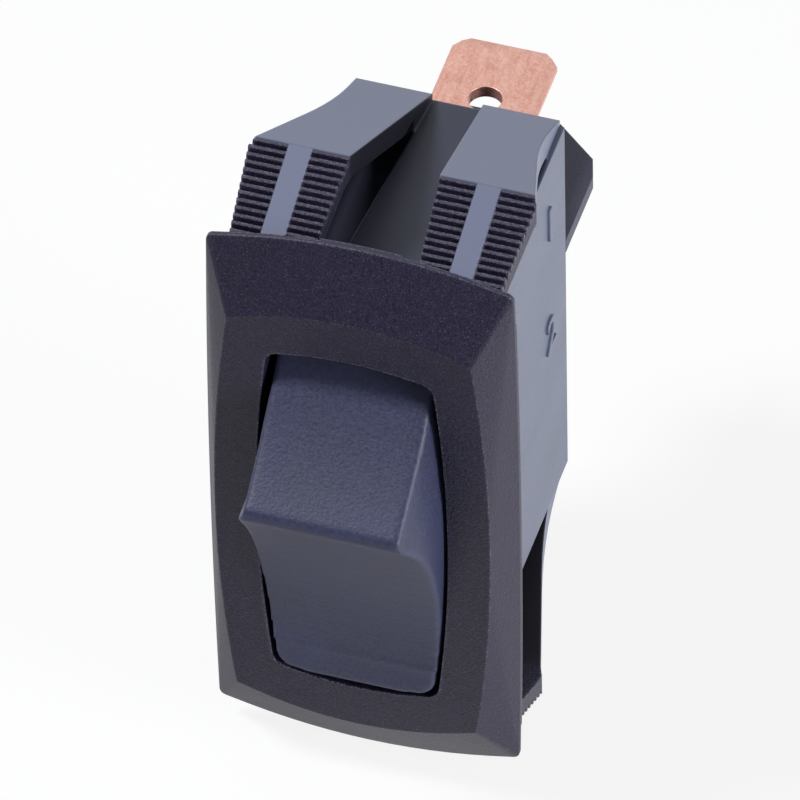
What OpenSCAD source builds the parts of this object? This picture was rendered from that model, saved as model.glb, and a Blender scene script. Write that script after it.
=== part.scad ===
// Snap-in panel rocker switch, single pole, on and off.
// X is the width, Y the depth (the rocker faces -Y, the terminals point to +Y), Z is up.
// The origin is the centre of the bezel's back face, where it seats on the panel.

/* [Bezel] */
// Width of the bezel at its corners
bezel_w = 18.2; // [17.8:0.1:22]
// Height of the bezel at its corners
bezel_h = 37.9; // [37:0.1:42]
// Crown of the bezel's top and bottom edges
bezel_crown = 1.3; // [0.6:0.1:2]
// Crown of the bezel's long edges
bezel_side_crown = 0.2; // [0.1:0.05:0.4]
// Thickness of the bezel at its rim
rim_t = 0.4; // [0.3:0.05:1]
// Height of the bezel's front face above the panel
bezel_t = 2.75; // [2.4:0.05:3.5]
// Width lost to the slope on each side of the front face
slope_w = 1.85; // [1.2:0.05:2.2]
// Height lost to the slope at each end of the front face
slope_h = 3.9; // [2.4:0.1:4.4]
// Crown of the front face's long edges
face_side_crown = 1; // [0.3:0.1:1.2]
// Crown of the front face's top and bottom edges
face_crown = 1.4; // [0.6:0.1:1.8]
// Depth of the relief behind the bezel where the wings end
seat_relief = 0.15; // [0.1:0.05:0.3]

/* [Opening] */
// Width of the rocker opening at its corners
opening_w = 9.9; // [9.6:0.1:10.2]
// Height of the rocker opening at its corners
opening_h = 25.5; // [25.4:0.1:26]
// Crown of the opening's long edges
opening_side_crown = 0.75; // [0.4:0.05:0.8]
// Crown of the opening's top and bottom edges
opening_crown = 0.65; // [0.4:0.05:0.8]
// Corner radius of the opening
opening_r = 1; // [0.5:0.1:1.5]

/* [Housing] */
// Width of the housing behind the panel
body_w = 12.76; // [12.7:0.02:13.2]
// Height of the housing behind the panel
body_h = 27.6; // [27.5:0.1:29]
// Depth of the housing behind the panel
body_d = 18.4; // [17.5:0.1:22]
// Thickness of the housing's long side walls
side_wall = 0.98; // [0.9:0.01:1.1]
// Thickness of the housing's end walls beside the rocker
end_wall = 0.7; // [0.6:0.05:0.8]
// Depth behind the panel that the rocker's ends swing in
rocker_bay_d = 3.9; // [3.7:0.1:4.4]
// Height left inside under the wing pockets
cavity_h = 22.4; // [21:0.1:22.6]

/* [Snap wings] */
// Distance from the panel to the wings' widest line
knee_y = 6.5; // [5.5:0.1:7.5]
// Height of that line above the switch's centre
knee_z = 20.4; // [19.6:0.1:21]
// Height of the wings' roots above the switch's centre
root_z = 14.28; // [14:0.02:14.6]
// Length of the solid root of a wing
root_len = 2.8; // [1.6:0.1:3.4]
// Thickness of a wing's long leg, measured upright
leg_t = 1.7; // [1.3:0.1:2]
// Thickness of a wing's serrated leg, measured upright
ramp_t = 1.35; // [1:0.05:1.5]
// Fall of the serrated leg for each millimetre towards the panel
ramp_fall = 0.34; // [0.25:0.01:0.4]
// Gap between the bezel's back and the wings' free ends
wing_end_gap = 0.5; // [0.4:0.1:1]
// Teeth on each wing
teeth = 13; // [8:1:16]
// Depth of the grooves between the teeth
tooth_d = 0.4; // [0.2:0.05:0.5]
// Teeth next to the panel that are cut deeper
deep_teeth = 3; // [0:1:4]
// Extra depth of those grooves
deep_extra = 0.16; // [0:0.02:0.2]
// Near edge of the plain strip between the teeth
strip_x0 = 4.88; // [4.6:0.02:5.2]
// Width of that plain strip
strip_w = 1.42; // [1:0.02:1.8]
// Half the gap between two wings at their roots
wing_in_root = 1.52; // [1.4:0.02:1.8]
// Half the gap between two wings at the widest line
wing_in_knee = 2.66; // [2.5:0.02:2.9]
// Half the gap between two wings at their free ends
wing_in_end = 3.1; // [2.9:0.05:3.4]
// Half width over both wings at their roots
wing_out_root = 6.11; // [5.9:0.01:6.2]
// Half width over both wings at the widest line
wing_out_knee = 8.29; // [8:0.01:8.4]
// Half width over both wings at their free ends
wing_out_end = 8.05; // [7.6:0.05:8.2]
// Distance from the panel to the bend in the wings' outer edges
wing_bend_y = 14.2; // [12.5:0.1:15]
// Length that the bend takes on each side
wing_bend_len = 2.7; // [1:0.1:3]
// Depth of the pocket under each wing
pocket_d = 1.8; // [1.2:0.1:1.8]
// Thickness of the thin side wall beside each pocket
pocket_wall = 0.58; // [0.5:0.02:0.8]

/* [Rocker] */
// Distance of the rocker's axis in front of the panel
pivot_out = 1.1; // [1:0.05:1.2]
// Radius of the rocker's trunnions
trunnion_r = 0.8; // [0.6:0.05:0.8]
// How far the rocker swings from one position to the other
swing = 12; // [8:0.5:13]
// Gap between the rocker and its opening
rocker_gap = 0.25; // [0.2:0.05:0.35]
// Height of the finger ridge in front of the rocker's axis
ridge_out = 8.06; // [6.5:0.02:9]
// Height of the ridge above the rocker's axis
ridge_z = 4.54; // [2:0.02:5]
// Width of the rocker at the ridge
ridge_w = 9.28; // [8.6:0.02:9.6]
// Width of the upper face at its lip
lip_w = 9; // [8.6:0.1:9.2]
// Rounding of the ridge
ridge_r = 0.65; // [0.3:0.05:0.8]
// Radius of the hollow face above the ridge
upper_face_r = 34.7; // [25:0.1:60]
// Radius of the hollow face below the ridge
lower_face_r = 21.6; // [18:0.1:30]
// Distance of the rocker's lips in front of its axis, in mid-swing
lip_out = 0.54; // [0.3:0.02:0.8]
// Wall thickness of the rocker
rocker_wall = 1.1; // [0.9:0.05:1.4]
// Radius of the boss that holds the plunger
boss_r = 2.6; // [2.4:0.05:2.9]
// Length of that boss behind the rocker's axis
boss_len = 6.4; // [5.5:0.1:7]
// Depth of the spring bore in front of the rocker's axis
spring_bore_out = 3; // [2:0.1:3.2]

/* [Mechanism] */
// Radius of the plunger
plunger_r = 1.5; // [1.2:0.05:1.6]
// Radial clearance of parts that turn or slide
running_gap = 0.05; // [0.02:0.01:0.08]
// Distance from the rocker's axis to the plunger's hidden end
plunger_tail = 1.6; // [1.2:0.1:2.4]
// Gap between the plunger and the blade in mid-swing
plunger_gap = 0.05; // [0.03:0.01:0.1]
// Radius of the spring's wire
spring_wire_r = 0.2; // [0.12:0.01:0.22]
// Gap between closed contacts
contact_gap = 0.06; // [0.04:0.01:0.1]
// Number of turns of the spring
spring_turns = 5; // [4:0.5:6]
// Thickness of the contact blade
blade_t = 0.6; // [0.4:0.05:0.8]
// Width of the contact blade
blade_w = 4.2; // [3.6:0.1:4.4]
// Length of the blade beyond each contact
blade_over = 1.6; // [1.4:0.1:2]
// Tilt of the blade in either position
blade_tilt = 5; // [3:0.5:5.5]
// Distance from the blade's axis to its contacts
contact_arm = 7.6; // [7:0.1:8]
// Radius of the blade's pivot bosses
blade_pivot_r = 0.5; // [0.4:0.05:0.6]
// Radius of the contact heads
contact_r = 1.6; // [1.2:0.1:1.8]
// Height of the moving contact heads
moving_contact_t = 0.9; // [0.6:0.1:1.1]
// Height of the fixed contact heads
fixed_contact_t = 1; // [0.6:0.1:1.2]
// Radius of the contacts' shanks
shank_r = 0.8; // [0.6:0.05:1]
// Rounding of the stop under the blade's lower end
stop_r = 0.8; // [0.6:0.1:1]

/* [Terminals] */
// Width of a terminal tab
tab_w = 6.35; // [4.8:0.05:6.35]
// Thickness of a terminal tab
tab_t = 0.8; // [0.5:0.1:0.8]
// Distance from the panel to the tabs' tips
tab_end = 28.35; // [27.5:0.05:32]
// Distance from a tab's tip to the centre of its hole
tab_hole_back = 4.75; // [3.5:0.05:5]
// Radius of the hole in a tab
tab_hole_r = 1; // [0.8:0.05:1.1]
// Corner chamfer of a tab's tip
tab_chamfer = 0.9; // [0.5:0.1:1.2]
// Width of the coined bevel round a tab's edge
coin_w = 0.8; // [0.4:0.1:1]
// Depth of the coined bevel round a tab's edge
coin_d = 0.22; // [0.1:0.02:0.3]
// Height of the upper tab above the centre tab
tab_pitch = 8.9; // [8.6:0.1:9.2]
// Thickness of the base that closes the housing
base_t = 4.5; // [3.5:0.1:5]
// Depth of the barrier behind the housing
barrier_d = 9; // [6:0.1:10]
// Thickness of the barrier
barrier_t = 1; // [0.8:0.1:1.2]
// Height of the barrier's upper face above the switch's centre
barrier_z = 4.52; // [4:0.02:5]
// Corner chamfer of the barrier, across the width
barrier_cut_x = 2.6; // [1:0.1:3]
// Corner chamfer of the barrier, along the depth
barrier_cut_y = 2.2; // [1:0.1:3]

/* [Hidden] */
$fn = 48;
eps = 0.01;
pivot_y = -pivot_out;
rest_tilt = -swing / 2;
cavity_w = body_w - 2 * side_wall;
bay_h = body_h - 2 * end_wall;
face_w = bezel_w - 2 * slope_w;
face_h = bezel_h - 2 * slope_h;
leg_rise = (knee_z - root_z) / (body_d - knee_y);
wing_end_z = knee_z - ramp_fall * (knee_y - wing_end_gap);
inner_knee_y = knee_y - (leg_t - ramp_t) / (leg_rise + ramp_fall);
inner_knee_z = knee_z + leg_rise * (knee_y - inner_knee_y) - leg_t;
knee_fillet = 1.1;
tooth_pitch = (knee_y - wing_end_gap) / teeth;
strip_x1 = strip_x0 + strip_w;
pocket_y0 = rocker_bay_d + end_wall;
pocket_y1 = body_d - root_len;
pocket_z = body_h / 2 - pocket_d;
land_z = wing_end_z - ramp_t - 0.5;
land_x = wing_in_end - 0.7;
rocker_w = opening_w - 2 * rocker_gap;
rocker_h = opening_h - 2 * rocker_gap;
end_r = opening_h / 2 + opening_crown - rocker_gap - 0.22;
skirt_len = end_r * sin(11);
skirt_w = cavity_w - 2 * rocker_gap;
base_y = body_d - base_t;
flange_y = base_y - tab_t;
blade_y = flange_y - fixed_contact_t - contact_gap
    - (blade_t / 2 + moving_contact_t) * cos(blade_tilt) - contact_arm * sin(blade_tilt);
contact_z = contact_arm * cos(blade_tilt)
    - (blade_t / 2 + moving_contact_t) * sin(blade_tilt);
plunger_tip = blade_y - blade_t / 2 - plunger_gap - pivot_y;
bore_r = plunger_r + running_gap;
spring_r = plunger_r - spring_wire_r - 0.15;
ear_t = 0.8;
ear_gap = 0.2;
ear_x = blade_w / 2 + ear_gap;
ear_h = 2.2;
slot_gap = 0.05;

// Outline with four bowed sides: w by h at its corners, crowns bx and bz, corner radius r.
function side_x(w, h, bx, z) = w / 2 + bx * (1 - pow(2 * z / h, 2));
function bowed_quarter(w, h, bx, bz, r, n) = let (
        zc = side_x(h, w, bz, w / 2 - r) - r,
        xc = side_x(w, h, bx, zc) - r
    ) concat(
        [for (i = [0:n - 1]) [side_x(w, h, bx, zc * i / n), zc * i / n]],
        [for (a = [0:18:90]) [xc + r * cos(a), zc + r * sin(a)]],
        [for (i = [n - 1:-1:0]) [xc * i / n, side_x(h, w, bz, xc * i / n)]]
    );
function bowed(w, h, bx, bz, r, n = 7) = let (q = bowed_quarter(w, h, bx, bz, r, n), m = len(q)) concat(
        q,
        [for (i = [m - 2:-1:1]) [-q[i][0], q[i][1]]],
        [for (i = [0:m - 1]) [-q[i][0], -q[i][1]]],
        [for (i = [m - 2:-1:1]) [q[i][0], -q[i][1]]]
    );

// Points of an arc of radius r from p to q that bulges to the left of the way from p to q.
function arc(p, q, r, n = 12) = let (
        d = q - p,
        len = norm(d),
        side = [-d[1], d[0]] / len,
        c = (p + q) / 2 - side * sqrt(r * r - len * len / 4),
        half = asin(len / 2 / r),
        a0 = atan2(side[1], side[0])
    ) [for (i = [0:n]) c + r * [cos(a0 + half - 2 * half * i / n), sin(a0 + half - 2 * half * i / n)]];

// Points of a smooth bend from a to c that the corner b draws in.
function bend(a, b, c, n = 6) = [for (i = [0:n]) let (t = i / n)
        (1 - t) * (1 - t) * a + 2 * t * (1 - t) * b + t * t * c];

// An X-Z outline as a plate from y0 to y1, and a Y-Z outline as a bar from x0 to x1.
module plate_y(y0, y1) {
    translate([0, y1, 0]) rotate([90, 0, 0]) linear_extrude(y1 - y0) children();
}
module bar_x(x0, x1) {
    translate([x0, 0, 0]) rotate([90, 0, 90]) linear_extrude(x1 - x0) children();
}
module box(x0, x1, y0, y1, z0, z1) {
    translate([x0, y0, z0]) cube([x1 - x0, y1 - y0, z1 - z0]);
}
// A round bar along Y from y0 to y1.
module rod_y(r, y0, y1, z = 0) {
    translate([0, y1, z]) rotate([90, 0, 0]) cylinder(r = r, h = y1 - y0);
}
module four_ways() {
    for (sx = [0, 1], sz = [0, 1]) mirror([sx, 0, 0]) mirror([0, 0, sz]) children();
}
module both_ends() {
    for (sz = [0, 1]) mirror([0, 0, sz]) children();
}
module both_sides() {
    for (sx = [0, 1]) mirror([sx, 0, 0]) children();
}

// Bezel: a rim plate with four sloped sides that meet in mitres and rise to a flat front face.
module bezel_blank() {
    plate_y(-rim_t, 0) polygon(bowed(bezel_w, bezel_h, bezel_side_crown, bezel_crown, 0.5));
    hull() {
        plate_y(-rim_t - eps, -rim_t + eps)
            polygon(bowed(bezel_w, bezel_h, bezel_side_crown, bezel_crown, 0.5));
        plate_y(-bezel_t, -bezel_t + eps)
            polygon(bowed(face_w, face_h, face_side_crown, face_crown, 0.25));
    }
}

// Side outline of a wing: long leg up to the knee, then the serrated leg back to the panel.
function ramp_z(y) = knee_z - ramp_fall * (knee_y - y);
function groove_d(i) = tooth_d + (i >= teeth - deep_teeth ? deep_extra : 0);
function tooth_points() = [for (i = [0:teeth - 1], k = [[0.12, 0], [0.5, 0], [0.66, 1], [0.9, 1]])
        let (y = knee_y - tooth_pitch * (i + k[0])) [y, ramp_z(y) - k[1] * groove_d(i)]];
function wing_outline(toothed) = concat(
        [[body_d, root_z], [knee_y, knee_z]],
        toothed ? tooth_points() : [],
        [[wing_end_gap, wing_end_z], [wing_end_gap, wing_end_z - ramp_t]],
        bend([inner_knee_y - knee_fillet, inner_knee_z - ramp_fall * knee_fillet],
            [inner_knee_y, inner_knee_z],
            [inner_knee_y + knee_fillet, inner_knee_z - leg_rise * knee_fillet]),
        [[pocket_y1, root_z + leg_rise * root_len - leg_t],
        [pocket_y1, pocket_z - eps], [body_d, pocket_z - eps]]
    );
// Plan outline of a wing, in X and Y.
wing_spread = (wing_out_knee - wing_out_root) / (wing_bend_y - knee_y);
wing_plan = concat(
    [[wing_in_root, body_d], [wing_in_knee, knee_y], [wing_in_end, wing_end_gap],
    [wing_out_end, wing_end_gap], [wing_out_knee + 0.26, knee_y - 0.6], [wing_out_knee, knee_y]],
    bend([wing_out_root + wing_spread * wing_bend_len, wing_bend_y - wing_bend_len],
        [wing_out_root, wing_bend_y], [wing_out_root, wing_bend_y + wing_bend_len]),
    [[wing_out_root, body_d]]);
module wing() {
    intersection() {
        union() {
            bar_x(0, strip_x0) polygon(wing_outline(true));
            bar_x(strip_x0, strip_x1) polygon(wing_outline(false));
            bar_x(strip_x1, bezel_w / 2) polygon(wing_outline(true));
        }
        translate([0, 0, pocket_z - 1]) linear_extrude(knee_z) polygon(wing_plan);
    }
}
// Pocket in the housing under a wing, with a rib left between two pockets.
function rib_x(y) = wing_in_root + (body_d - y) * (wing_in_knee - wing_in_root) / (body_d - knee_y);
module wing_pocket() {
    translate([0, 0, pocket_z]) linear_extrude(pocket_d + 1) polygon([
        [rib_x(pocket_y1), pocket_y1], [body_w / 2 - pocket_wall, pocket_y1],
        [body_w / 2 - pocket_wall, pocket_y0], [rib_x(pocket_y0), pocket_y0]]);
}
// Housing: bezel, case and the four snap wings in one moulding.
module housing() {
    color("#2b2c31") difference() {
        union() {
            bezel_blank();
            box(-body_w / 2, body_w / 2, -eps, body_d, -body_h / 2, body_h / 2);
            four_ways() wing();
        }
        four_ways() wing_pocket();
        plate_y(-bezel_t - 1, eps)
            polygon(bowed(opening_w, opening_h, opening_side_crown, opening_crown, opening_r));
        box(-cavity_w / 2, cavity_w / 2, 0, rocker_bay_d, -bay_h / 2, bay_h / 2);
        box(-cavity_w / 2, cavity_w / 2, 0, body_d + 1, -cavity_h / 2, cavity_h / 2);
        four_ways() box(land_x, bezel_w, -seat_relief, 0, land_z, bezel_h);
        trunnion_bore_len = trunnion_reach() + 0.15;
        translate([-trunnion_bore_len, pivot_y, 0]) rotate([0, 90, 0])
            cylinder(r = trunnion_r + running_gap, h = 2 * trunnion_bore_len);
    }
}
function trunnion_reach() = opening_w / 2 + opening_side_crown + 1.2;

// Rocker, drawn about its own axis in mid-swing and then tilted to its rest position.
module at_rocker_rest() {
    translate([0, pivot_y, 0]) rotate([rest_tilt, 0, 0]) children();
}
ridge_c = [-ridge_out + ridge_r, ridge_z];
lip_z = sqrt(end_r * end_r - lip_out * lip_out);
skirt_z = sqrt(end_r * end_r - skirt_len * skirt_len);
rocker_outline = concat(
        arc([-lip_out, lip_z], ridge_c + ridge_r * [cos(138), sin(138)], upper_face_r),
        [for (a = [150:12:222]) ridge_c + ridge_r * [cos(a), sin(a)]],
        arc(ridge_c + ridge_r * [cos(228), sin(228)], [-lip_out, -lip_z], lower_face_r, 16),
        [for (i = [1:4]) let (y = -lip_out + (skirt_len + lip_out) * i / 4)
            [y, -sqrt(end_r * end_r - y * y)]],
        [for (i = [4:-1:1]) let (y = -lip_out + (skirt_len + lip_out) * i / 4)
            [y, sqrt(end_r * end_r - y * y)]]
    );
inner_lip_z = lip_z - rocker_wall;
rocker_hollow = concat(
        arc([rocker_wall / 2, inner_lip_z], ridge_c + [2.4 * rocker_wall, 0.2], upper_face_r),
        arc(ridge_c + [2.4 * rocker_wall, -0.4], [rocker_wall / 2, -inner_lip_z], lower_face_r),
        [[skirt_len + 1, -inner_lip_z], [skirt_len + 1, inner_lip_z]]
    );
// Half width of the rocker in its opening, and of the upper face, at height z.
function in_opening(z) = side_x(rocker_w, rocker_h, opening_side_crown, z);
function up_face(z) = (z - ridge_z) / (lip_z - ridge_z);
flank_y = -lip_out - 0.3;
module flank_section(z) {
    front = [ridge_w / 2 + up_face(z) * (lip_w - ridge_w) / 2,
        -ridge_out + up_face(z) * (ridge_out - lip_out)];
    translate([0, 0, z]) linear_extrude(eps) polygon([[-front[0], front[1]], front,
        [in_opening(z), flank_y], [-in_opening(z), flank_y]]);
}
// Space that the flanks leave to the rocker: parallel beside the upper face, spreading below.
module between_flanks() {
    full = rocker_w / 2 + opening_side_crown;
    beside_ridge = in_opening(ridge_z);
    top = ridge_z + (lip_z - ridge_z) * (ridge_out + flank_y) / (ridge_out - lip_out) - eps;
    steps = 3;
    for (i = [0:steps - 1]) hull() {
        flank_section(ridge_z + (top - ridge_z) * i / steps);
        flank_section(ridge_z + (top - ridge_z) * (i + 1) / steps);
    }
    translate([0, 0, -bezel_h / 2]) linear_extrude(bezel_h / 2 + ridge_z + eps) polygon([
        [-ridge_w / 2, -ridge_out], [ridge_w / 2, -ridge_out],
        [beside_ridge, flank_y], [-beside_ridge, flank_y]]);
    box(-full, full, flank_y - eps, skirt_len + 1, -bezel_h / 2, bezel_h / 2);
}
module rocker_skin() {
    intersection() {
        bar_x(-bezel_w / 2, bezel_w / 2) polygon(rocker_outline);
        union() {
            plate_y(-ridge_out - 1, 0)
                polygon(bowed(rocker_w, rocker_h, opening_side_crown, opening_crown, opening_r));
            intersection() {
                plate_y(-eps, skirt_len + 1)
                    polygon(bowed(rocker_w, rocker_h, opening_side_crown, opening_crown, opening_r));
                box(-skirt_w / 2, skirt_w / 2, -1, skirt_len + 1, -bay_h / 2, bay_h / 2);
            }
        }
        between_flanks();
    }
}
module rocker() {
    hollow_w = skirt_w - 2 * rocker_wall;
    color("#45474f") at_rocker_rest() difference() {
        union() {
            difference() {
                rocker_skin();
                bar_x(-hollow_w / 2, hollow_w / 2) polygon(rocker_hollow);
            }
            intersection() {
                union() {
                    rod_y(boss_r, -ridge_out + 2, boss_len);
                    box(-hollow_w / 2 - eps, hollow_w / 2 + eps, -ridge_out + 2, skirt_len,
                        -rocker_wall / 2, rocker_wall / 2);
                }
                union() {
                    rocker_skin();
                    box(-boss_r, boss_r, 0, boss_len, -boss_r, boss_r);
                }
            }
            translate([-trunnion_reach(), 0, 0]) rotate([0, 90, 0])
                cylinder(r = trunnion_r, h = 2 * trunnion_reach());
        }
        rod_y(bore_r, -spring_bore_out, boss_len + 1);
    }
}

// Plunger: a pin with a ball end that slides in the rocker's boss.
module plunger() {
    color("#d8d2c4") at_rocker_rest() {
        translate([0, plunger_tail, 0]) rotate([-90, 0, 0]) rotate_extrude() union() {
            square([plunger_r, plunger_tip - plunger_tail - plunger_r]);
            intersection() {
                translate([0, plunger_tip - plunger_tail - plunger_r]) circle(r = plunger_r);
                square([plunger_r, plunger_tip]);
            }
        }
    }
}

// Compression spring between the bore's end and the plunger.
function helix_point(a, r, rise) = [r * cos(a), rise * a / 360, r * sin(a)];
module plunger_spring() {
    y0 = -spring_bore_out + spring_wire_r + eps;
    span = plunger_tail - eps - spring_wire_r - y0;
    rise = span / spring_turns;
    per_turn = 14;
    sides = 6;
    rings = per_turn * spring_turns;
    points = [for (i = [0:rings], k = [0:sides - 1]) let (
            a = i * 360 / per_turn,
            b = k * 360 / sides,
            rr = spring_r + spring_wire_r * cos(b)
        ) helix_point(a, rr, rise) + [0, y0 + spring_wire_r * sin(b), 0]];
    skin = [for (i = [0:rings - 1], k = [0:sides - 1]) let (
            a = i * sides + k, b = i * sides + (k + 1) % sides
        ) [a, b, b + sides, a + sides]];
    color("#b9bcc0") at_rocker_rest()
        polyhedron(points, concat(skin, [[for (k = [sides - 1:-1:0]) k]],
            [[for (k = [0:sides - 1]) rings * sides + k]]));
}

// Blade and its contacts, drawn about the blade's own axis and then tilted to rest.
module at_blade_rest() {
    translate([0, blade_y, 0]) rotate([blade_tilt, 0, 0]) children();
}
module contact_blade() {
    half = contact_arm + blade_over;
    color("#c98b5e") at_blade_rest() difference() {
        union() {
            plate_y(-blade_t / 2, blade_t / 2) polygon([
                [-blade_w / 2 + 0.6, -half], [blade_w / 2 - 0.6, -half], [blade_w / 2, 0.6 - half],
                [blade_w / 2, half - 0.6], [blade_w / 2 - 0.6, half], [0.6 - blade_w / 2, half],
                [-blade_w / 2, half - 0.6], [-blade_w / 2, 0.6 - half]]);
            both_sides() translate([plunger_r + 0.4, 0, 0]) rotate([0, 90, 0])
                cylinder(r = blade_pivot_r, h = ear_x + ear_t + ear_gap - plunger_r - 0.4);
        }
        rod_y(shank_r, -blade_t, blade_t, contact_arm);
    }
}
// A contact: domed head of height t in front of y = 0, shank of length s behind it.
module contact(t, s) {
    rotate([90, 0, 0]) rotate_extrude() polygon([
        [0, -s], [shank_r, -s], [shank_r, 0], [contact_r, 0], [contact_r, t * 0.6],
        [contact_r * 0.8, t * 0.88], [contact_r * 0.55, t * 0.97], [contact_r * 0.25, t], [0, t]]);
}
module moving_contact_upper() {
    color("#d9dade") at_blade_rest() translate([0, blade_t / 2, contact_arm]) mirror([0, 1, 0])
        contact(moving_contact_t, blade_t);
}
module fixed_contact_upper() {
    color("#d9dade") translate([0, flange_y, contact_z]) contact(fixed_contact_t, tab_t);
}

// A tab from y0 to its tip, lying in the plane z = 0, with coined edges and a hole.
module tab(y0) {
    hw = tab_w / 2;
    ht = tab_t / 2;
    difference() {
        intersection() {
            translate([0, 0, -ht]) linear_extrude(tab_t) polygon([[-hw, y0], [hw, y0],
                [hw, tab_end - tab_chamfer], [hw - tab_chamfer, tab_end],
                [tab_chamfer - hw, tab_end], [-hw, tab_end - tab_chamfer]]);
            bar_x(-hw, hw) polygon([[y0, -ht], [tab_end - coin_w, -ht], [tab_end, coin_d - ht],
                [tab_end, ht - coin_d], [tab_end - coin_w, ht], [y0, ht]]);
            union() {
                box(-hw, hw, y0, body_d, -ht, ht);
                plate_y(body_d - eps, tab_end) polygon([[-hw, coin_d - ht], [coin_w - hw, -ht],
                    [hw - coin_w, -ht], [hw, coin_d - ht], [hw, ht - coin_d], [hw - coin_w, ht],
                    [coin_w - hw, ht], [-hw, ht - coin_d]]);
            }
        }
        translate([0, tab_end - tab_hole_back, -1]) cylinder(r = tab_hole_r, h = 2);
    }
}
// The upper terminal: its flange lies on the base's front and carries the fixed contact.
module terminal_upper() {
    flange_z0 = contact_z - contact_r - 0.2;
    color("#c98b5e") difference() {
        union() {
            translate([0, 0, tab_pitch]) tab(flange_y);
            box(-tab_w / 2, tab_w / 2, flange_y, base_y, flange_z0, tab_pitch + tab_t / 2);
        }
        rod_y(shank_r, flange_y - 1, base_y + 1, contact_z);
    }
}
// The centre terminal: its flange has two ears with open notches that carry the blade.
module terminal_centre() {
    notch_r = blade_pivot_r + running_gap;
    color("#c98b5e") difference() {
        union() {
            tab(flange_y);
            box(-ear_x - ear_t, ear_x + ear_t, flange_y, base_y, -ear_h, ear_h);
            both_sides() box(ear_x, ear_x + ear_t, blade_y - 0.4, flange_y + eps, -ear_h, ear_h);
        }
        translate([-cavity_w / 2, blade_y, 0]) rotate([0, 90, 0])
            cylinder(r = notch_r, h = cavity_w);
        box(-cavity_w / 2, cavity_w / 2, blade_y - 2, blade_y, -notch_r, notch_r);
    }
}

// Base: closes the housing, passes the two tabs, keeps them apart with a barrier and holds
// the stop that the blade's lower end rests on.
module barrier() {
    hw = body_w / 2;
    end = body_d + barrier_d;
    translate([0, 0, barrier_z - barrier_t]) linear_extrude(barrier_t) polygon([
        [-hw, body_d + slot_gap], [hw, body_d + slot_gap], [hw, end - barrier_cut_y - 1.3],
        [hw - 0.4, end - barrier_cut_y], [hw - 0.4 - barrier_cut_x, end],
        [barrier_cut_x + 0.4 - hw, end], [0.4 - hw, end - barrier_cut_y],
        [-hw, end - barrier_cut_y - 1.3]]);
}
module blade_stop() {
    top = blade_t / 2 + contact_gap + stop_r;
    stop_y = blade_y + top * cos(blade_tilt) + contact_arm * sin(blade_tilt);
    stop_z = top * sin(blade_tilt) - contact_arm * cos(blade_tilt);
    translate([-blade_w / 2, stop_y, stop_z]) rotate([0, 90, 0]) cylinder(r = stop_r, h = blade_w);
    box(-blade_w / 2, blade_w / 2, stop_y, base_y + eps, stop_z - stop_r, stop_z + stop_r);
}
module terminal_base() {
    w = cavity_w - 2 * slot_gap;
    h = cavity_h - 2 * slot_gap;
    color("#26272b") difference() {
        union() {
            box(-w / 2, w / 2, base_y, body_d, -h / 2, h / 2);
            barrier();
            box(-w / 2, w / 2, body_d - eps, body_d + 1, barrier_z - barrier_t, barrier_z);
            blade_stop();
        }
        for (z = [0, tab_pitch])
            box(-tab_w / 2 - slot_gap, tab_w / 2 + slot_gap, base_y - 1, body_d + 1,
                z - tab_t / 2 - slot_gap, z + tab_t / 2 + slot_gap);
    }
}

housing();
rocker();
terminal_base();
plunger();
plunger_spring();
contact_blade();
moving_contact_upper();
fixed_contact_upper();
terminal_upper();
terminal_centre();
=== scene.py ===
"""Panel rocker switch: materials, moulded marks, floor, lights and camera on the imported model."""
import math

import bmesh
import bpy
from mathutils import Matrix, Vector


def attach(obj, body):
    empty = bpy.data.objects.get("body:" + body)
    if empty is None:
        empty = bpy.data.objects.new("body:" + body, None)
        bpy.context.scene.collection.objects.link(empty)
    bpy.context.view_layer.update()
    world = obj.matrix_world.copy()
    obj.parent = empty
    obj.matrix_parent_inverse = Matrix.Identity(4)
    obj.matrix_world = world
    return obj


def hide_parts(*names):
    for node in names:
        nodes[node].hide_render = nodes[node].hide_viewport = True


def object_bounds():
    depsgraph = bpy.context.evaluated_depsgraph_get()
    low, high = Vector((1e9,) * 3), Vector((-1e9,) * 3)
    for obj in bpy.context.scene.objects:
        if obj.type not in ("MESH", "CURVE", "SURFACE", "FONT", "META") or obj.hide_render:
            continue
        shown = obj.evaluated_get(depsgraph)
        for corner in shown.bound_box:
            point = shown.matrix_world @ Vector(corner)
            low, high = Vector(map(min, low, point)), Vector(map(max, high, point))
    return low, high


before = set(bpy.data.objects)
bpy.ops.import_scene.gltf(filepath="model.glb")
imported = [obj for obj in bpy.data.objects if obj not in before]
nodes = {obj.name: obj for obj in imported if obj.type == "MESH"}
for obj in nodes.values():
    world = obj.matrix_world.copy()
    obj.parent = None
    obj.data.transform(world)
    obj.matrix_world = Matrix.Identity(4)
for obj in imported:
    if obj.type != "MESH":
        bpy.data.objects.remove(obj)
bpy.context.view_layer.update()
MM = 0.001

# Zones of the housing, in metres. X and Z are distances from the middle.
BEZEL_Y = (0.00005, -0.00005)
TEETH_Y, TEETH_Z = (0.0002, 0.00645), (0.0164, 0.0166)
STRIP_X = (0.00488, 0.0063)
# The wings, inside WINGS, get a painted lighter tone; the case top between them, inside CASE, gets
# painted shade.
WINGS_Y, WINGS_Z = (0.0, 0.0002), (0.0139, 0.0141)
CASE_Z, CASE_X, CASE_Y = (0.01400, 0.01396), (0.0062, 0.0061), (0.0, 0.01835)


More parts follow.
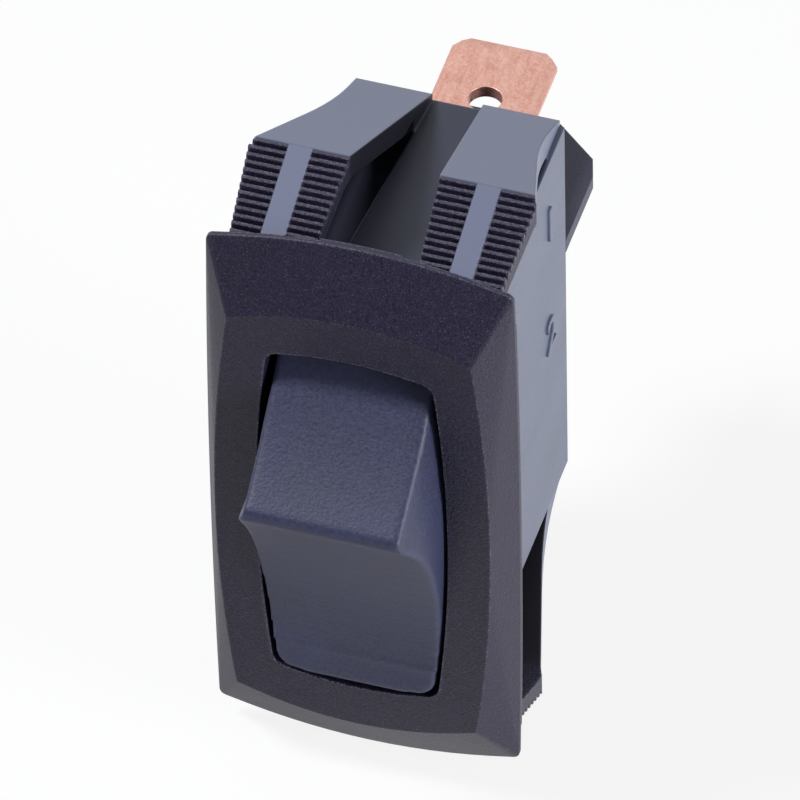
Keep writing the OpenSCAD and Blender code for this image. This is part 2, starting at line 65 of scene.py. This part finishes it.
# ---------------------------------------------------------------- materials
class Graph:
    """A small helper that wires a node material."""

    def __init__(self, name):
        self.mat = bpy.data.materials.new(name)
        self.mat.use_nodes = True
        self.tree = self.mat.node_tree
        self.tree.nodes.clear()
        self.out = self.add("ShaderNodeOutputMaterial")
        self.bsdf = self.add("ShaderNodeBsdfPrincipled")
        self.link(self.bsdf.outputs["BSDF"], self.out.inputs["Surface"])
        self.coord = self.add("ShaderNodeTexCoord").outputs["Object"]

    def add(self, kind, **values):
        n = self.tree.nodes.new(kind)
        for k, v in values.items():
            setattr(n, k, v)
        return n

    def link(self, a, b):
        self.tree.links.new(a, b)

    def put(self, socket, value):
        if hasattr(value, "is_linked"):
            self.link(value, socket)
        else:
            socket.default_value = value

    def set(self, **values):
        for k, v in values.items():
            self.put(self.bsdf.inputs[k.replace("_", " ")], v)

    def noise(self, per_m, detail=3.0, rough=0.5, stretch=(1, 1, 1)):
        m = self.add("ShaderNodeMapping")
        m.inputs["Scale"].default_value = stretch
        self.link(self.coord, m.inputs["Vector"])
        n = self.add("ShaderNodeTexNoise")
        self.link(m.outputs["Vector"], n.inputs["Vector"])
        n.inputs["Scale"].default_value = per_m
        n.inputs["Detail"].default_value = detail
        n.inputs["Roughness"].default_value = rough
        return n.outputs["Fac"]

    def cells(self, per_m, feature="F1"):
        n = self.add("ShaderNodeTexVoronoi", feature=feature)
        self.link(self.coord, n.inputs["Vector"])
        n.inputs["Scale"].default_value = per_m
        return n.outputs["Distance"]

    def ramp(self, value, low, high, a=0.0, b=1.0):
        n = self.add("ShaderNodeMapRange")
        self.link(value, n.inputs["Value"])
        n.inputs["From Min"].default_value = low
        n.inputs["From Max"].default_value = high
        n.inputs["To Min"].default_value = a
        n.inputs["To Max"].default_value = b
        return n.outputs["Result"]

    def math(self, op, a, b=0.0):
        n = self.add("ShaderNodeMath", operation=op)
        self.put(n.inputs[0], a)
        self.put(n.inputs[1], b)
        return n.outputs[0]

    def mix(self, fac, a, b):
        n = self.add("ShaderNodeMix", data_type="RGBA")
        self.put(n.inputs["Factor"], fac)
        self.put(n.inputs[6], a)
        self.put(n.inputs[7], b)
        return n.outputs[2]

    def lerp(self, fac, a, b):
        n = self.add("ShaderNodeMix", data_type="FLOAT")
        self.put(n.inputs["Factor"], fac)
        self.put(n.inputs[2], a)
        self.put(n.inputs[3], b)
        return n.outputs[0]

    def axis(self, which):
        n = self.add("ShaderNodeSeparateXYZ")
        self.link(self.coord, n.inputs[0])
        return n.outputs[which]

    def bevel(self, radius, samples=6):
        n = self.add("ShaderNodeBevel", samples=samples)
        n.inputs["Radius"].default_value = radius
        return n.outputs["Normal"]

    def edges(self, radius):
        """1 on edges, 0 on flat ground."""
        dot = self.add("ShaderNodeVectorMath", operation="DOT_PRODUCT")
        self.link(self.bevel(radius, 8), dot.inputs[0])
        self.link(self.add("ShaderNodeNewGeometry").outputs["Normal"], dot.inputs[1])
        return self.ramp(dot.outputs["Value"], 0.985, 0.86)

    def bump(self, height, strength, distance, normal=None):
        n = self.add("ShaderNodeBump")
        self.link(height, n.inputs["Height"])
        self.put(n.inputs["Strength"], strength)
        n.inputs["Distance"].default_value = distance
        if normal is not None:
            self.link(normal, n.inputs["Normal"])
        return n.outputs["Normal"]


def rgb(r, g, b):
    """A colour written as it shows, 0 to 255."""
    def lin(v):
        v /= 255
        return v / 12.92 if v <= 0.04045 else ((v + 0.055) / 1.055) ** 2.4
    return (lin(r), lin(g), lin(b), 1.0)


def between(g, value, low, high, soft=0.00004):
    """1 where value lies between low and high, with soft edges."""
    return g.math("MULTIPLY", g.ramp(value, low - soft, low + soft),
                  g.ramp(value, high + soft, high - soft))


def housing_plastic():
    g = Graph("housing_nylon")
    x, y, z = (g.math("ABSOLUTE", g.axis("X")), g.axis("Y"), g.math("ABSOLUTE", g.axis("Z")))

    # The bezel and the teeth are grained and darker; the strip between the teeth and the rest of
    # the moulding are smooth. The teeth's darker tone is partly painted shade, standing in for
    # their steep faces turned away from the light.
    teeth = g.math("MULTIPLY", between(g, y, *TEETH_Y), g.ramp(z, *TEETH_Z))
    strip = between(g, x, *STRIP_X)
    teeth = g.math("MULTIPLY", teeth, g.math("SUBTRACT", 1.0, strip))
    grained = g.math("MAXIMUM", g.ramp(y, *BEZEL_Y), teeth)
    grain = g.noise(11500, 4, 0.65)
    pits = g.ramp(g.cells(6500, "SMOOTH_F1"), 0.1, 0.62)
    rough_tone_and_glints = g.mix(g.ramp(grain, 0.4, 0.68), rgb(5, 3, 16), rgb(50, 44, 78))
    # The bright specks mixed into the grained tone are painted glints.
    speck = g.ramp(g.cells(5200), 0.0, 0.2, 1.0, 0.0)
    rough_tone_and_glints = g.mix(g.math("MULTIPLY", speck, 0.5), rough_tone_and_glints, rgb(136, 132, 152))
    # Painted highlight: a lighter broken line along the housing's edges.
    edge_glint = g.math("MULTIPLY", g.edges(0.0003), g.ramp(g.noise(9000, 2, 0.7), 0.46, 0.62))
    rough_tone_and_glints = g.mix(g.math("MULTIPLY", edge_glint, 0.55), rough_tone_and_glints, rgb(150, 146, 166))

    # The wings' backs get a lighter tone, which is painted light. The case top between the wings
    # gets painted shade, and the wings' inner sides and inner flanks get the darkest painted shade.
    fine = g.noise(11000, 2, 0.5)
    flow = g.noise(300, 3, 0.55, (1, 0.3, 1))
    wings = g.ramp(z, *WINGS_Z)
    behind = g.ramp(y, *WINGS_Y)
    case_recess_shade = g.math("MULTIPLY", g.ramp(z, *CASE_Z), g.ramp(x, *CASE_X))
    case_recess_shade = g.math("MULTIPLY", case_recess_shade, between(g, y, *CASE_Y))
    normal = g.add("ShaderNodeSeparateXYZ")
    g.link(g.add("ShaderNodeNewGeometry").outputs["True Normal"], normal.inputs[0])
    outward_z = g.math("MULTIPLY", normal.outputs["Z"], g.math("SIGN", g.axis("Z")))
    underside_shade = g.math("MULTIPLY", g.ramp(outward_z, -0.3, -0.5), wings)
    outward_x = g.math("MULTIPLY", normal.outputs["X"], g.math("SIGN", g.axis("X")))
    inner_flank_shade = g.math("MULTIPLY", g.ramp(outward_x, -0.4, -0.6), wings)
    smooth_tone_and_painted_light = g.mix(g.ramp(flow, 0.3, 0.75), rgb(88, 94, 114), rgb(98, 104, 126))
    # Painted light: the wings' backs get a lighter copy of the smooth tone.
    smooth_tone_and_painted_light = g.mix(wings, smooth_tone_and_painted_light, rgb(104, 110, 134))
    # Painted shade on the case top between the wings.
    smooth_tone_and_painted_light = g.mix(case_recess_shade, smooth_tone_and_painted_light, rgb(54, 55, 71))
    # Painted shade, darkest, on the wings' inner sides and inner flanks behind the bezel.
    smooth_tone_and_painted_light = g.mix(g.math("MULTIPLY", underside_shade, behind), smooth_tone_and_painted_light, rgb(26, 24, 32))
    smooth_tone_and_painted_light = g.mix(g.math("MULTIPLY", inner_flank_shade, behind), smooth_tone_and_painted_light, rgb(26, 24, 36))

    g.set(Base_Color=g.mix(grained, smooth_tone_and_painted_light, rough_tone_and_glints))
    g.set(Roughness=g.lerp(grained, g.ramp(fine, 0.3, 0.7, 0.36, 0.46),
                           g.ramp(grain, 0.3, 0.7, 0.36, 0.56)))
    height = g.lerp(grained, g.math("MULTIPLY", fine, 0.1),
                    g.math("ADD", grain, g.math("MULTIPLY", pits, 0.6)))
    g.set(Normal=g.bump(height, 0.4, 0.00006, g.bevel(0.00016)))
    return g.mat


def rocker_plastic():
    g = Graph("rocker_plastic")
    grain = g.noise(5200, 4, 0.6)
    cloud = g.noise(300, 2, 0.5)
    tone = g.mix(g.ramp(grain, 0.35, 0.7), rgb(42, 44, 68), rgb(60, 62, 90))
    tone = g.mix(g.ramp(cloud, 0.35, 0.7, 0.0, 0.35), tone, rgb(54, 60, 94))
    # Painted highlight: a lighter broken line along the rocker's rounded edges.
    edge_glint = g.math("MULTIPLY", g.edges(0.0005), g.ramp(g.noise(2600, 2, 0.6), 0.4, 0.6))
    tone = g.mix(g.math("MULTIPLY", edge_glint, 0.3), tone, rgb(120, 124, 150))
    g.set(Base_Color=tone)
    g.set(Roughness=g.ramp(grain, 0.3, 0.7, 0.4, 0.54))
    g.set(Normal=g.bump(grain, 0.6, 0.00005, g.bevel(0.0004, 8)))
    return g.mat


def base_plastic():
    g = Graph("base_nylon")
    fine = g.noise(6000, 3, 0.5)
    tone = g.mix(g.ramp(fine, 0.3, 0.7), rgb(52, 52, 68), rgb(68, 68, 86))
    g.set(Base_Color=tone)
    g.set(Roughness=g.ramp(fine, 0.3, 0.7, 0.45, 0.58))
    g.set(Normal=g.bump(fine, 0.3, 0.00004, g.bevel(0.00015)))
    return g.mat


def copper():
    g = Graph("copper_alloy")
    rolled = g.noise(2600, 4, 0.6, (1, 0.18, 1))
    speck = g.noise(6500, 3, 0.65)
    blotch = g.noise(380, 3, 0.6)
    tone = g.mix(g.ramp(rolled, 0.3, 0.7), rgb(212, 148, 129), rgb(236, 181, 161))
    tone = g.mix(g.ramp(speck, 0.42, 0.7, 0.0, 0.7), tone, rgb(238, 198, 182))
    tone = g.mix(g.ramp(blotch, 0.55, 0.8, 0.0, 0.5), tone, rgb(180, 112, 92))
    g.set(Base_Color=tone, Metallic=1.0)
    g.set(Roughness=g.ramp(speck, 0.3, 0.7, 0.3, 0.46))
    g.set(Normal=g.bump(speck, 0.3, 0.00003, g.bevel(0.00008)))
    return g.mat


def silver():
    g = Graph("silver")
    turned = g.noise(5000, 3, 0.5)
    g.set(Base_Color=g.mix(g.ramp(turned, 0.3, 0.7), rgb(206, 207, 210), rgb(230, 230, 232)))
    g.set(Metallic=1.0, Roughness=g.ramp(turned, 0.3, 0.7, 0.24, 0.36))
    g.set(Normal=g.bump(turned, 0.2, 0.00003))
    return g.mat


def spring_wire():
    g = Graph("spring_steel")
    drawn = g.noise(7000, 2, 0.5)
    g.set(Base_Color=g.mix(g.ramp(drawn, 0.3, 0.7), rgb(150, 152, 156), rgb(186, 188, 192)))
    g.set(Metallic=1.0, Roughness=g.ramp(drawn, 0.3, 0.7, 0.28, 0.4))
    return g.mat


def plunger_nylon():
    g = Graph("plunger_nylon")
    fine = g.noise(5000, 3, 0.5)
    g.set(Base_Color=g.mix(g.ramp(fine, 0.3, 0.7), rgb(208, 202, 186), rgb(222, 217, 203)))
    g.set(Roughness=g.ramp(fine, 0.3, 0.7, 0.38, 0.5))
    g.set(Normal=g.bump(fine, 0.2, 0.00003))
    return g.mat


def dress(mat, *names):
    for n in names:
        ob = nodes[n]
        for s in ob.material_slots:
            s.material = mat
        if not ob.material_slots:
            ob.data.materials.append(mat)


HOUSING_MAT = housing_plastic()
dress(HOUSING_MAT, "housing")
ROCKER_MAT = rocker_plastic()
dress(ROCKER_MAT, "rocker")
dress(base_plastic(), "terminal_base")
dress(copper(), "terminal_upper", "terminal_centre", "contact_blade")
dress(silver(), "moving_contact_upper", "fixed_contact_upper")
dress(spring_wire(), "plunger_spring")
dress(plunger_nylon(), "plunger")


def arc(p, q, r, steps):
    """Points of an arc from p to q that bulges to the left of the way from p to q."""
    d = q - p
    side = Vector((-d.y, d.x)) / d.length
    centre = (p + q) / 2 - side * math.sqrt(r * r - d.length_squared / 4)
    half = math.asin(d.length / 2 / r)
    start = math.atan2(side.y, side.x) + half
    return [centre + r * Vector((math.cos(start - 2 * half * i / steps),
                                 math.sin(start - 2 * half * i / steps))) for i in range(steps + 1)]


# The rocker's face, in millimetres from its axis in mid-swing: (depth, height) down the middle.
PIVOT_Y, REST_TILT = -1.1, math.radians(-6)
RIDGE, RIDGE_R = Vector((-7.41, 4.54)), 0.65
LIP = Vector((-0.54, 12.919))
UPPER_R, LOWER_R = 34.7, 21.6
RIDGE_FROM, RIDGE_TO, RIDGE_STEP = 138, 228, 8
RIDGE_HALF, LIP_NARROWER = 4.64, 0.14
SHOULDER_W, SHOULDER_FADE = 0.86, 1.1
OPENING_HALF, OPENING_CROWN, OPENING_TOP = 4.7, 0.75, 12.75
FLANK_Y, SKIN_T, SKIN_BACK, FACE_T = -0.84, 0.9, 1.3, 1.1
# Both ends of the added shell dive this deep under the CAD rocker's face, over this many rings.
DIVE, DIVE_RINGS = 0.2, 4
VOXEL, EASE_TURNS = 0.14, 12


def on_ridge(degrees):
    a = math.radians(degrees)
    return RIDGE + RIDGE_R * Vector((math.cos(a), math.sin(a)))


def in_opening(z):
    """Half width that the opening leaves to the rocker at height z."""
    return OPENING_HALF + OPENING_CROWN * (1 - (z / OPENING_TOP) ** 2)


def face_half(z):
    """Half width of the rocker's face: parallel above the ridge, opening out fast below it."""
    below = z - RIDGE.y
    if below >= 0:
        return RIDGE_HALF - LIP_NARROWER * below / (LIP.y - RIDGE.y)
    shoulder = SHOULDER_W * (1 - math.exp(below / SHOULDER_FADE))
    return min(in_opening(z), RIDGE_HALF + shoulder)


def moulded_rocker():
    """The CAD rocker with its ridge's nose and shoulders added, edges rounded as moulded."""
    upper = arc(LIP, on_ridge(RIDGE_FROM), UPPER_R, 26)[4:]
    nose = [on_ridge(a) for a in range(RIDGE_FROM + RIDGE_STEP, RIDGE_TO - 4, RIDGE_STEP)]
    lower = arc(on_ridge(RIDGE_TO), Vector((LIP.x, -LIP.y)), LOWER_R, 44)[:-5]
    profile = upper + nose + lower
    rings = []
    for i, (y, z) in enumerate(profile):
        y += DIVE * max(0, 1 - min(i, len(profile) - 1 - i) / DIVE_RINGS)
        face, wall = face_half(z), in_opening(z)
        back = FLANK_Y + SKIN_BACK
        inner = min(y + FACE_T, back - 0.05)
        corner = max(inner, FLANK_Y)
        half = [(face, y), (wall, FLANK_Y), (wall, back),
                (wall - SKIN_T, back), (wall - SKIN_T, corner), (face - SKIN_T, inner)]
        ring = half + [(-x, yy) for x, yy in reversed(half)]
        rings.append([Vector((x, yy, z)) for x, yy in ring])

    mesh = bpy.data.meshes.new("rocker_moulding")
    bm = bmesh.new()
    bm.from_mesh(nodes["rocker"].data)
    tilt = Matrix.Rotation(REST_TILT, 4, "X")
    shift = Vector((0, PIVOT_Y, 0))
    verts = [[bm.verts.new((tilt @ v + shift) * MM) for v in ring] for ring in rings]
    n = len(verts[0])
    for a, b in zip(verts, verts[1:]):
        for i in range(n):
            bm.faces.new((a[i], a[(i + 1) % n], b[(i + 1) % n], b[i]))
    for end in (verts[0][::-1], verts[-1]):
        for i in range(n // 2 - 1):
            bm.faces.new((end[i], end[i + 1], end[n - 2 - i], end[n - 1 - i]))
    bmesh.ops.recalc_face_normals(bm, faces=bm.faces)
    bm.to_mesh(mesh)
    bm.free()
    ob = bpy.data.objects.new("rocker_moulding", mesh)
    bpy.context.collection.objects.link(ob)
    skin = ob.modifiers.new("skin", "REMESH")
    skin.mode = "VOXEL"
    skin.voxel_size = VOXEL * MM
    skin.use_smooth_shade = True
    ease = ob.modifiers.new("ease", "SMOOTH")
    ease.factor = 0.5
    ease.iterations = EASE_TURNS
    ob.data.materials.append(ROCKER_MAT)
    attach(ob, "rocker")
    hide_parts("rocker")


moulded_rocker()


SIDE_X = 0.00638
NUMBER_Y, NUMBER_H = 0.0152, 0.0036


def side_number(text, z):
    """A plain number moulded on the case's right side, level with a tab."""
    curve = bpy.data.curves.new("number_" + text, "FONT")
    curve.body = text
    curve.size = NUMBER_H
    curve.align_x = curve.align_y = "CENTER"
    curve.extrude = 0.00012
    curve.bevel_depth = 0.00003
    flat = bpy.data.objects.new("flat_" + text, curve)
    bpy.context.collection.objects.link(flat)
    bpy.context.view_layer.update()
    mesh = bpy.data.meshes.new_from_object(flat)
    bpy.data.objects.remove(flat)
    mesh.transform(Matrix(((0, 0, 1, SIDE_X), (1, 0, 0, NUMBER_Y), (0, 1, 0, z), (0, 0, 0, 1))))
    mesh.name = "number_" + text
    mesh.materials.clear()
    mesh.materials.append(HOUSING_MAT)
    ob = bpy.data.objects.new("number_" + text, mesh)
    bpy.context.collection.objects.link(ob)
    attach(ob, "case")


side_number("1", 0.0089)
side_number("2", 0.0)

# ---------------------------------------------------------------- floor and lights
FLOOR_SIZE, FLOOR_GAP = 3.0, 0.0002
# Glossy rays see the floor fall off towards the front and the left, down to FLOOR_DIM.
FLOOR_SLANT, FLOOR_FADE, FLOOR_DIM = 0.45, (-0.014, 0.002), 0.5

lo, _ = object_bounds()
bpy.ops.mesh.primitive_plane_add(size=FLOOR_SIZE, location=(0, 0, lo[2] - FLOOR_GAP))
floor = bpy.context.object
floor.name = "floor"
fg = Graph("floor_paper")
fg.set(Base_Color=rgb(250, 250, 250), Roughness=0.9)
path = fg.add("ShaderNodeLightPath")
camera_ray = path.outputs["Is Camera Ray"]
seen = fg.math("MAXIMUM", path.outputs["Is Glossy Ray"], path.outputs["Is Transmission Ray"])
seen = fg.math("MAXIMUM", camera_ray, seen)
slant = fg.math("ADD", fg.math("MULTIPLY", fg.axis("X"), FLOOR_SLANT), fg.axis("Y"))
glow = fg.add("ShaderNodeEmission")
glow.inputs["Color"].default_value = (1, 1, 1, 1)
fg.link(fg.math("MAXIMUM", camera_ray, fg.ramp(slant, *FLOOR_FADE, FLOOR_DIM, 1.0)),
        glow.inputs["Strength"])
blend = fg.add("ShaderNodeMixShader")
fg.link(fg.math("MULTIPLY", seen, 0.85), blend.inputs[0])
fg.link(fg.bsdf.outputs[0], blend.inputs[1])
fg.link(glow.outputs[0], blend.inputs[2])
fg.link(blend.outputs[0], fg.out.inputs["Surface"])
floor.data.materials.append(fg.mat)

SOFT_LEVEL = 0.13
FRONT_FADE, FRONT_LEVEL = (-0.75, 0.5), 0.1

world = bpy.data.worlds.new("studio")
bpy.context.scene.world = world
world.use_nodes = True
wt = world.node_tree
wt.nodes.clear()


def world_node(kind, **values):
    n = wt.nodes.new(kind)
    for k, v in values.items():
        setattr(n, k, v)
    return n


def background(colour, strength):
    n = world_node("ShaderNodeBackground")
    n.inputs["Color"].default_value = (*colour, 1)
    n.inputs["Strength"].default_value = strength
    return n


# Camera, glossy and transmission rays see the white backdrop, which falls off towards the front
# and below; the rest sees a soft even light.
wpath = world_node("ShaderNodeLightPath")
way = world_node("ShaderNodeTexCoord")
split = world_node("ShaderNodeSeparateXYZ")
wt.links.new(way.outputs["Generated"], split.inputs[0])
fade = world_node("ShaderNodeMapRange", interpolation_type="SMOOTHSTEP")
fade.inputs["From Min"].default_value = FRONT_FADE[0]
fade.inputs["From Max"].default_value = FRONT_FADE[1]
fade.inputs["To Min"].default_value = FRONT_LEVEL
fade.inputs["To Max"].default_value = 1.0
wt.links.new(split.outputs["Y"], fade.inputs["Value"])
soft = background((0.93, 0.95, 1.0), SOFT_LEVEL)
white = background((1, 1, 1), 1.0)
mirrored = background((0.9, 0.94, 1.0), 1.0)
wt.links.new(fade.outputs["Result"], mirrored.inputs["Strength"])


def choose(fac, a, b):
    n = world_node("ShaderNodeMixShader")
    wt.links.new(fac, n.inputs[0])
    wt.links.new(a, n.inputs[1])
    wt.links.new(b, n.inputs[2])
    return n.outputs[0]


clear = world_node("ShaderNodeMath", operation="MAXIMUM")
wt.links.new(wpath.outputs["Is Camera Ray"], clear.inputs[0])
wt.links.new(wpath.outputs["Is Transmission Ray"], clear.inputs[1])
sky = choose(wpath.outputs["Is Glossy Ray"], soft.outputs[0], mirrored.outputs[0])
sky = choose(clear.outputs[0], sky, white.outputs[0])
wout = world_node("ShaderNodeOutputWorld")
wt.links.new(sky, wout.inputs["Surface"])


def area(name, loc, target, size, power, colour=(1, 1, 1)):
    data = bpy.data.lights.new(name, "AREA")
    data.shape = "RECTANGLE"
    data.size, data.size_y = size
    data.energy = power
    data.color = colour
    ob = bpy.data.objects.new(name, data)
    bpy.context.collection.objects.link(ob)
    ob.location = loc
    ob.rotation_euler = (Vector(target) - Vector(loc)).to_track_quat("-Z", "Y").to_euler()
    return ob


area("key", (-0.26, -0.06, 0.40), (0, 0, 0), (0.12, 0.12), 1.85, (0.95, 0.97, 1.0))
area("right_box", (0.42, -0.10, 0.06), (0, 0.005, 0), (0.25, 0.35), 2.7, (0.95, 0.97, 1.0))

# ---------------------------------------------------------------- camera
CAM_BACK = Vector((0.2145, -0.6610, 0.7191))
CAM_RIGHT = Vector((0.9554, 0.2952, -0.0136))
# Distance from the origin, the picture's width at that distance and the shift across and up, in mm
CAM_FAR, VIEW_W, SHIFT = 1028.8, 45.80065, (1.917, 5.361)
SENSOR_W = 36

cam_data = bpy.data.cameras.new("camera")
cam = bpy.data.objects.new("camera", cam_data)
bpy.context.collection.objects.link(cam)
back = CAM_BACK.normalized()
right = (CAM_RIGHT - CAM_RIGHT.dot(back) * back).normalized()
up = back.cross(right)
place = (right * SHIFT[0] + up * SHIFT[1] + back * CAM_FAR) * MM
cam.matrix_world = Matrix((
    (right.x, up.x, back.x, place.x),
    (right.y, up.y, back.y, place.y),
    (right.z, up.z, back.z, place.z),
    (0, 0, 0, 1)))
cam_data.sensor_width = SENSOR_W
cam_data.lens = SENSOR_W * CAM_FAR / VIEW_W
cam_data.clip_start = 0.05
cam_data.clip_end = 20
bpy.context.scene.camera = cam
bpy.context.scene.view_settings.view_transform = "Standard"
